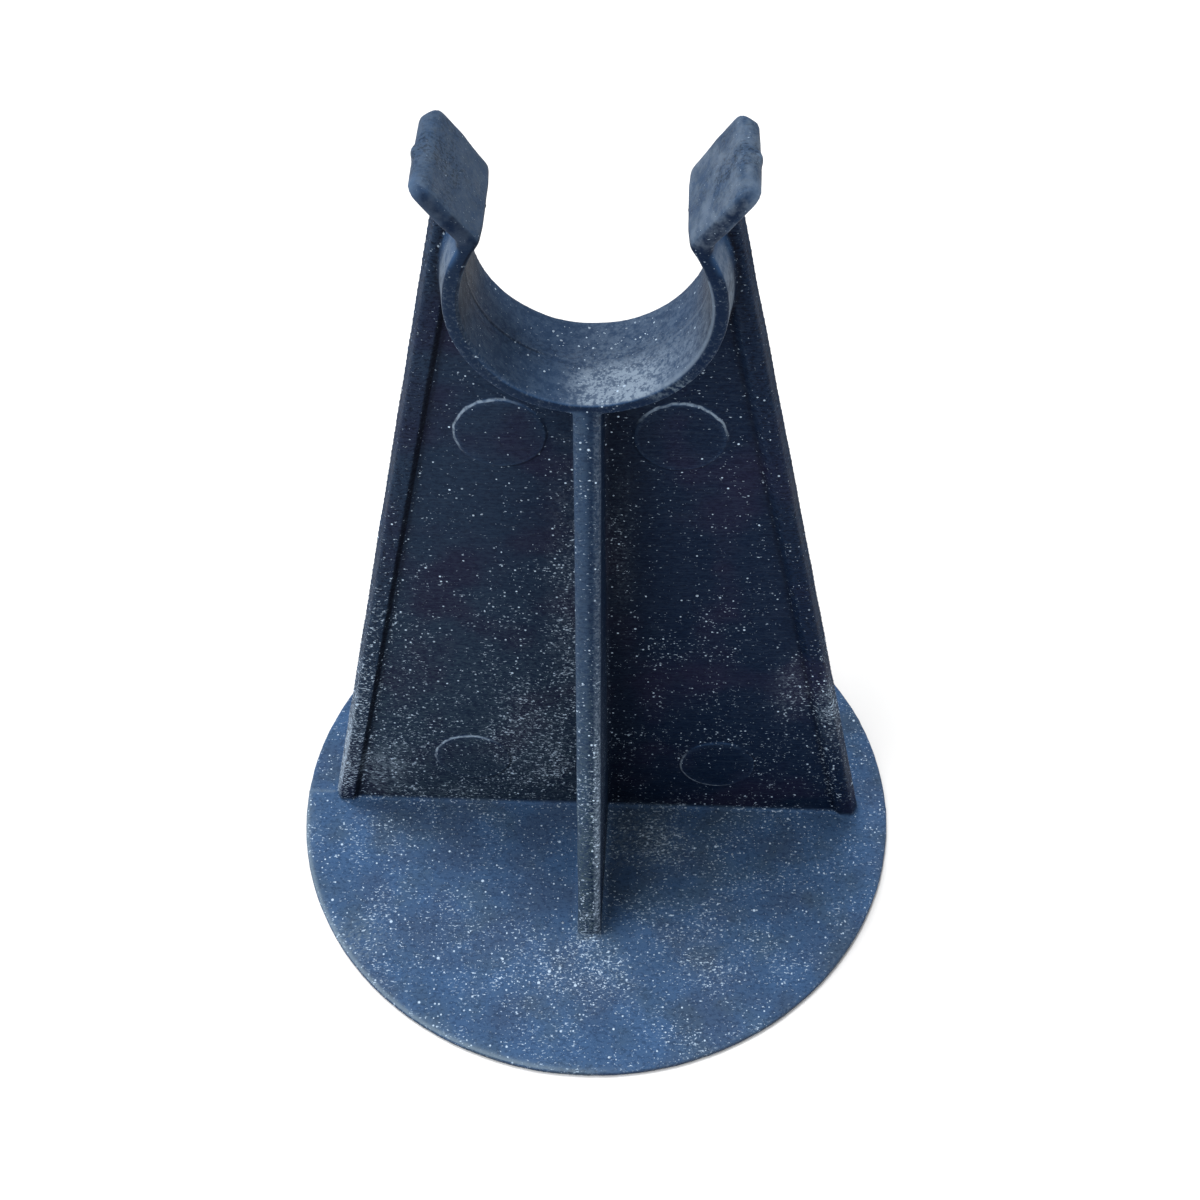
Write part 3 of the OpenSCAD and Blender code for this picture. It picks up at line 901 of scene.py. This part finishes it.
def grains_of_dust(w, here, dusty):
    """Mask of the small grains, and the fine unevenness that they give."""
    low = w.add(w.fall(here.x, SPECK_SIDE, to=(0.04, 0.3)), w.times(here.flange, 0.3))
    left = w.times(w.fall(here.x, SPECK_FLANGE), w.fall(here.z, SPECK_TOP))
    left = w.times(here.flange, left)
    patchy = w.patches(here.at, size=9.0, detail=3.0, span=(0.38, 0.68), to=(0.0, 0.42))
    sparse = w.rise(w.most(here.low, here.plate), span=(0, 0.6), to=(0.4, 1.0))
    density = w.total((dusty, 0.6), (here.plate, 0.3), (w.add(here.hollow, here.fins), 0.2),
                      (low, here.low), (left, 0.2), (patchy, sparse))
    clean = w.total((here.ears, 0.9), (w.most(here.bore, here.ring), 0.6))
    clean = w.most(clean, w.times(here.flank, 0.9))
    density = w.times(density, w.minus(1.0, clean))
    fleck = w.group(flecks(), Place=here.at, Density=density)
    specks = w.times(fleck["Mask"], 0.8)
    for spacing, radius, part in SPECK_LAYERS:
        layer = w.group(speck_layer(), Place=here.at, Spacing=spacing, Radius=radius,
                        Density=w.times(density, part))
        specks = w.most(specks, w.times(layer["Mask"], w.between(layer["Tone"], to=(0.4, 1.0))))
    return specks, fleck["Fine"]


def cement():
    """Pale cement grains."""
    material, w, shader = new_material("cement_grains")
    finish = chair().finish
    at = in_millimetres(w)
    mottled = w.patches(at, size=1.5, roughness=0.6, span=(0.3, 0.7))
    w.feed(shader.inputs["Base Color"], w.blend(mottled, opaque(finish.dust), opaque(finish.speck_and_highlight)))
    w.feed(shader.inputs["Roughness"], w.between(mottled, to=(0.8, 0.95)))
    bump = w.node("Bump", {"Height": w.noise(at, size=0.1), "Distance": chair().grit.relief})[0]
    w.feed(shader.inputs["Normal"], bump)
    return material


# ---------------------------------------------------------------- modelling

# height at which the ears begin, the length over which their softening sets in, and how far
# out they reach, in millimetres
EAR_FOOT = 137
EAR_BLEND = 2
EAR_END = 20.5

# how far out the corners of the mouth lie, in millimetres, and where their softening is full,
# as a share of its reach
NOSE_X = 12.4
NOSE_FULL = 0.6

# parts of a unit normal: a face that rests on the ground, an underside that has no seam, and
# the turn to the front or back at which the seam has faded out
RESTING = -0.5
UNDERSIDE = -0.9
SEAM_TURN = 0.5


def cad_surface():
    """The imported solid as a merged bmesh."""
    bm = bmesh.new()
    bm.from_mesh(frame["nodes"][NODE].data)
    bmesh.ops.remove_doubles(bm, verts=bm.verts, dist=chair().skin.merge)
    return bm


def as_mesh(bm, name):
    mesh = bpy.data.meshes.new(name)
    bm.to_mesh(mesh)
    bm.free()
    return mesh


def shown(name, mesh):
    piece = bpy.data.objects.new(name, mesh)
    bpy.context.scene.collection.objects.link(piece)
    return piece


def modified(mesh, modifiers, groups=()):
    """The mesh that modifiers make of a mesh; groups are named vertex weights."""
    carrier = shown("carrier", mesh)
    for name, weights in groups:
        fill_group(carrier.vertex_groups.new(name=name), weights)
    for kind, values in modifiers:
        modifier = carrier.modifiers.new(kind, kind)
        for name, value in values.items():
            setattr(modifier, name, value)
    graph = bpy.context.evaluated_depsgraph_get()
    made = bpy.data.meshes.new_from_object(carrier.evaluated_get(graph))
    bpy.data.objects.remove(carrier)
    return made


def fill_group(group, weights, steps=24):
    """Gives a vertex group its weights, rounded to so many steps."""
    levels = np.rint(np.clip(weights, 0, 1) * steps).astype(int)
    for level in range(1, steps + 1):
        group.add(np.flatnonzero(levels == level).tolist(), level / steps, "REPLACE")


def rows_of(values, name, amount):
    rows = np.empty(3 * amount, np.float32)
    values.foreach_get(name, rows)
    return rows.reshape(-1, 3)


def corners(mesh):
    return rows_of(mesh.vertices, "co", len(mesh.vertices))


def normals(mesh):
    return rows_of(mesh.vertex_normals, "vector", len(mesh.vertices))


def keep_values(mesh, name, values):
    layer = mesh.attributes.new(name, "FLOAT", "POINT")
    layer.data.foreach_set("value", np.clip(values, 0, 1).astype(np.float32))


class CHAIR_OT_body(bpy.types.Operator):
    """Makes the moulded body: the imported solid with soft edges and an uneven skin"""

    bl_idname = "chair.body"
    bl_label = "Moulded Body"

    def execute(self, context):
        skin = chair().skin
        solid = cad_surface()
        self.add_nubs(solid, skin)
        grid = modified(as_mesh(solid, "solid"), [
            ("REMESH", {"mode": "VOXEL", "voxel_size": skin.grid})])
        ears = (corners(grid)[:, 2] / MM - EAR_FOOT) / EAR_BLEND
        soft = modified(grid, [
            ("SMOOTH", {"iterations": skin.soft_passes}),
            ("SMOOTH", {"iterations": skin.ear_passes, "vertex_group": "ears"}),
            ("SMOOTH", {"iterations": skin.nose_passes, "vertex_group": "noses"})],
            [("ears", ears), ("noses", self.noses(corners(grid) / MM, skin))])
        worn = modified(grid, [("SMOOTH", {"iterations": skin.worn_passes})])
        self.raise_seam(soft, skin)
        outward = normals(soft)
        depth = ((corners(soft) - corners(worn)) * outward).sum(axis=1) / skin.edge_depth
        keep_values(soft, "edge", depth)
        keep_values(soft, "hollow", -depth)
        resting = (corners(soft)[:, 2] < skin.grid) & (outward[:, 2] < RESTING)
        triangles = 2 * len(soft.polygons)
        mesh = modified(soft, [
            ("DISPLACE", self.unevenness("nick", skin.nick_size, skin.nick_depth, 2)),
            ("DISPLACE", self.unevenness("wave", skin.wave_size, skin.wave_depth, 1)),
            ("DECIMATE", {"ratio": skin.faces / triangles}),
        ], [("nick", depth), ("wave", 1.0 - resting)])
        inside = np.clip(corners(mesh), CAD_BOX[0], CAD_BOX[1])
        mesh.vertices.foreach_set("co", inside.astype(np.float32).ravel())
        mesh.materials.clear()
        mesh.materials.append(plastic())
        mesh.shade_smooth()
        body = shown("chair_body", mesh)
        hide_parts(NODE)
        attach(body, BODY)
        return {"FINISHED"}

    def add_nubs(self, solid, skin):
        """Adds the nub that the mould leaves on the outer end of each ear."""
        tree = BVHTree.FromBMesh(solid)
        level = CAD_BOX[1].z - skin.nub_drop
        # a nub is lower than it is wide
        half_width, half_height = skin.nub_width / 2, skin.nub_width / 3
        for side in (-1, 1):
            start = Vector((side * CAD_BOX[1].x, 0, level))
            spot, *_ = tree.ray_cast(start, Vector((-side, 0, 0)))
            grow = Matrix.Diagonal((2 * skin.nub_rise, half_width, half_height, 1))
            centre = spot - Vector((side * skin.nub_rise, 0, 0))
            bmesh.ops.create_icosphere(
                solid, subdivisions=3, radius=1, matrix=Matrix.Translation(centre) @ grow)

    def noses(self, places, skin):
        """Weights of the four corners of the mouth, at the ends of the ears' inner edges."""
        seat = clamp_mount()
        nose_z = seat["pos_m"][2] / MM + math.sqrt(seat["dims"]["r_mm"] ** 2 - NOSE_X ** 2)
        away = np.hypot(np.abs(places[:, 0]) - NOSE_X, places[:, 2] - nose_z)
        outer = (np.abs(places[:, 1]) - seat["dims"]["length_mm"] / 2) * MM + skin.nose_reach
        near = np.clip(1 + NOSE_FULL - away * MM / skin.nose_reach, 0, 1)
        return near * np.clip(outer / skin.nose_reach, 0, 1)

    def raise_seam(self, mesh, skin):
        """Raises a fine seam where the mould parts, across faces that run through it."""
        places, outward = corners(mesh), normals(mesh)
        near = np.exp(-(places[:, 1] / skin.seam_width) ** 2)
        across = np.clip(1 - np.abs(outward[:, 1]) / SEAM_TURN, 0, 1)
        across *= outward[:, 2] > UNDERSIDE
        across *= (places[:, 2] / MM < EAR_FOOT) | (np.abs(places[:, 0]) / MM > EAR_END)
        moved = places + outward * (near * across * skin.seam_rise)[:, None]
        mesh.vertices.foreach_set("co", moved.astype(np.float32).ravel())

    def unevenness(self, name, size, depth, detail):
        """Values of a modifier that pushes the skin in and out by a cloudy texture."""
        texture = bpy.data.textures.new(name, "CLOUDS")
        texture.noise_scale = size
        texture.noise_depth = detail
        return {"texture": texture, "texture_coords": "LOCAL", "strength": depth,
                "mid_level": 0.5, "vertex_group": name}


DOWN, BACK = Vector((0, 0, -1)), Vector((0, 1, 0))

# how many grains fall from between two corners, in millimetres, and the way that they go
GRIT_FIELDS = [
    (260, (-50, -52, 3), (50, -3, 3), DOWN),
    (90, (-16, -40, 3), (10, -28, 3), DOWN),
    (60, (-50, 3, 3), (50, 50, 3), DOWN),
    (150, (-43, -30, 4), (43, -30, 105), BACK),
    (90, (-18, -1.8, 6), (-3, -1.8, 90), BACK),
    (40, (-14, -8, 125), (14, 8, 125), DOWN),
    (30, (-6, 2, 125), (11, 7.8, 125), DOWN),
    (34, (-1.5, -34, 3), (-0.4, -34, 13), BACK),
    (60, (0.6, -34, 4), (1.7, -34, 50), BACK),
    (50, (-46.5, -30, 8), (-40, -30, 44), BACK),
    (6, (-7.3, -2.1, 4), (-6.2, -1.5, 4), DOWN),
]

# a face holds a grain where it meets the grain's way at least this squarely
GRIT_HOLD = 0.8

# widths of a grain as shares of its own radius, and how rare the large grains are
GRIT_WIDTHS = (0.7, 1.3)
GRIT_RARITY = 3
GRIT_SEED = 7


class CHAIR_OT_grit(bpy.types.Operator):
    """Lays the larger cement grains on the base plate, the upright and the seat"""

    bl_idname = "chair.grit"
    bl_label = "Cement Grains"

    def execute(self, context):
        grit = chair().grit
        draw = random.Random(GRIT_SEED)
        body = bmesh.new()
        body.from_mesh(bpy.data.objects["chair_body"].data)
        tree = BVHTree.FromBMesh(body)
        body.free()
        grains = bmesh.new()
        for amount, first, last, way in GRIT_FIELDS:
            for _ in range(round(amount * grit.amount)):
                start = Vector(draw.uniform(*ends) * MM for ends in zip(first, last))
                spot, facing, _, _ = tree.ray_cast(start, way)
                if spot is not None and facing.dot(way) < -GRIT_HOLD:
                    self.lay(grains, draw, grit, spot, facing)
        mesh = as_mesh(grains, "cement_grains")
        mesh.materials.append(cement())
        piece = shown("cement_grains", mesh)
        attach(piece, BODY)
        return {"FINISHED"}

    def lay(self, grains, draw, grit, spot, facing):
        """Adds one grain, flat on the face that it lies on and turned at random."""
        radius = grit.smallest
        radius += (grit.largest - grit.smallest) * draw.random() ** GRIT_RARITY
        wide, deep = radius * draw.uniform(*GRIT_WIDTHS), radius * draw.uniform(*GRIT_WIDTHS)
        shape = Matrix.Diagonal((wide, deep, radius * grit.flatness, 1))
        spin = Matrix.Rotation(draw.uniform(0, math.tau), 4, "Z")
        stand = facing.to_track_quat("Z", "X").to_matrix().to_4x4()
        bmesh.ops.create_icosphere(
            grains, subdivisions=1, radius=1,
            matrix=Matrix.Translation(spot) @ stand @ spin @ shape)


class CHAIR_OT_stage(bpy.types.Operator):
    """Sets the floor, the lights, the even sky and the camera"""

    bl_idname = "chair.stage"
    bl_label = "Stage"

    def execute(self, context):
        studio = chair().studio
        self.floor(studio)
        self.lights(context, studio)
        self.camera(context, studio)
        return {"FINISHED"}

    def floor(self, studio):
        bm = bmesh.new()
        bmesh.ops.create_grid(bm, x_segments=1, y_segments=1, size=studio.floor_size / 2)
        mesh = as_mesh(bm, "floor")
        material, w, shader = new_material("pale_floor")
        w.feed(shader.inputs["Base Color"], opaque((studio.floor_tone,) * 3))
        w.feed(shader.inputs["Roughness"], studio.floor_roughness)
        w.feed(shader.inputs["Specular IOR Level"], studio.floor_shine)
        mesh.materials.append(material)
        shown("floor", mesh)

    def lights(self, context, studio):
        self.lamp(context, "overhead", studio.key_strength, studio.key_spread, studio.key_place)
        self.lamp(context, "left", studio.fill_strength, studio.fill_spread, studio.fill_place)
        self.sky(context, studio)

    def sky(self, context, studio):
        """Even light all round, which the camera sees as plain white."""
        world = bpy.data.worlds.new("sky")
        world.use_nodes = True
        w = Wiring(world.node_tree)
        sky = world.node_tree.nodes["Background"]
        w.feed(sky.inputs["Color"], opaque((1, 1, 1)))
        seen = w.node("LightPath", {})["Is Camera Ray"]
        w.feed(sky.inputs["Strength"], w.between(seen, to=(studio.sky, 1.0)))
        context.scene.world = world

    def lamp(self, context, name, power, spread, way):
        """Light that comes evenly from one way, with soft shadows."""
        light = bpy.data.lights.new(name, "SUN")
        light.energy = power
        light.angle = spread
        lamp = bpy.data.objects.new(name, light)
        lamp.location = way
        lamp.rotation_euler = Vector(way).to_track_quat("Z", "Y").to_euler()
        context.scene.collection.objects.link(lamp)

    def camera(self, context, studio):
        lens = bpy.data.cameras.new("camera")
        lens.lens = studio.lens
        lens.sensor_width = studio.sensor
        lens.clip_start = studio.nearest
        camera = bpy.data.objects.new("camera", lens)
        yaw, pitch, roll = studio.yaw, studio.pitch, studio.roll
        forward = Vector((-math.sin(yaw) * math.cos(pitch), math.cos(yaw) * math.cos(pitch),
                          -math.sin(pitch)))
        level = Vector((math.cos(yaw), math.sin(yaw), 0))
        upward = level.cross(forward)
        right = math.cos(roll) * level + math.sin(roll) * upward
        top = -math.sin(roll) * level + math.cos(roll) * upward
        turn = Matrix((right, top, -forward)).transposed().to_4x4()
        camera.matrix_world = Matrix.Translation(studio.eye) @ turn
        context.scene.collection.objects.link(camera)
        context.scene.camera = camera
        context.scene.view_settings.view_transform = "Standard"


class CHAIR_PT_panel(bpy.types.Panel):
    """The steps that finish the chair"""

    bl_idname = "CHAIR_PT_panel"
    bl_label = "Rebar Chair"
    bl_space_type = "VIEW_3D"
    bl_region_type = "UI"
    bl_category = "Rebar Chair"

    def draw(self, context):
        for step in STEPS:
            self.layout.operator(step.bl_idname)


GROUPS = (ChairSkin, ChairFinish, ChairWear, ChairGrit, ChairStudio)
STEPS = (CHAIR_OT_body, CHAIR_OT_grit, CHAIR_OT_stage)


class RebarChair(bpy.types.PropertyGroup):
    """All settings of the rebar chair"""

    skin: bpy.props.PointerProperty(type=ChairSkin)
    finish: bpy.props.PointerProperty(type=ChairFinish)
    wear: bpy.props.PointerProperty(type=ChairWear)
    grit: bpy.props.PointerProperty(type=ChairGrit)
    studio: bpy.props.PointerProperty(type=ChairStudio)


def register():
    for made in (*GROUPS, RebarChair, *STEPS, CHAIR_PT_panel):
        bpy.utils.register_class(made)
    bpy.types.Scene.rebar_chair = bpy.props.PointerProperty(type=RebarChair)


def unregister():
    del bpy.types.Scene.rebar_chair
    for made in reversed((*GROUPS, RebarChair, *STEPS, CHAIR_PT_panel)):
        bpy.utils.unregister_class(made)


def main():
    register()
    bpy.ops.chair.body()
    bpy.ops.chair.grit()
    bpy.ops.chair.stage()


if __name__ == "__main__":
    main()
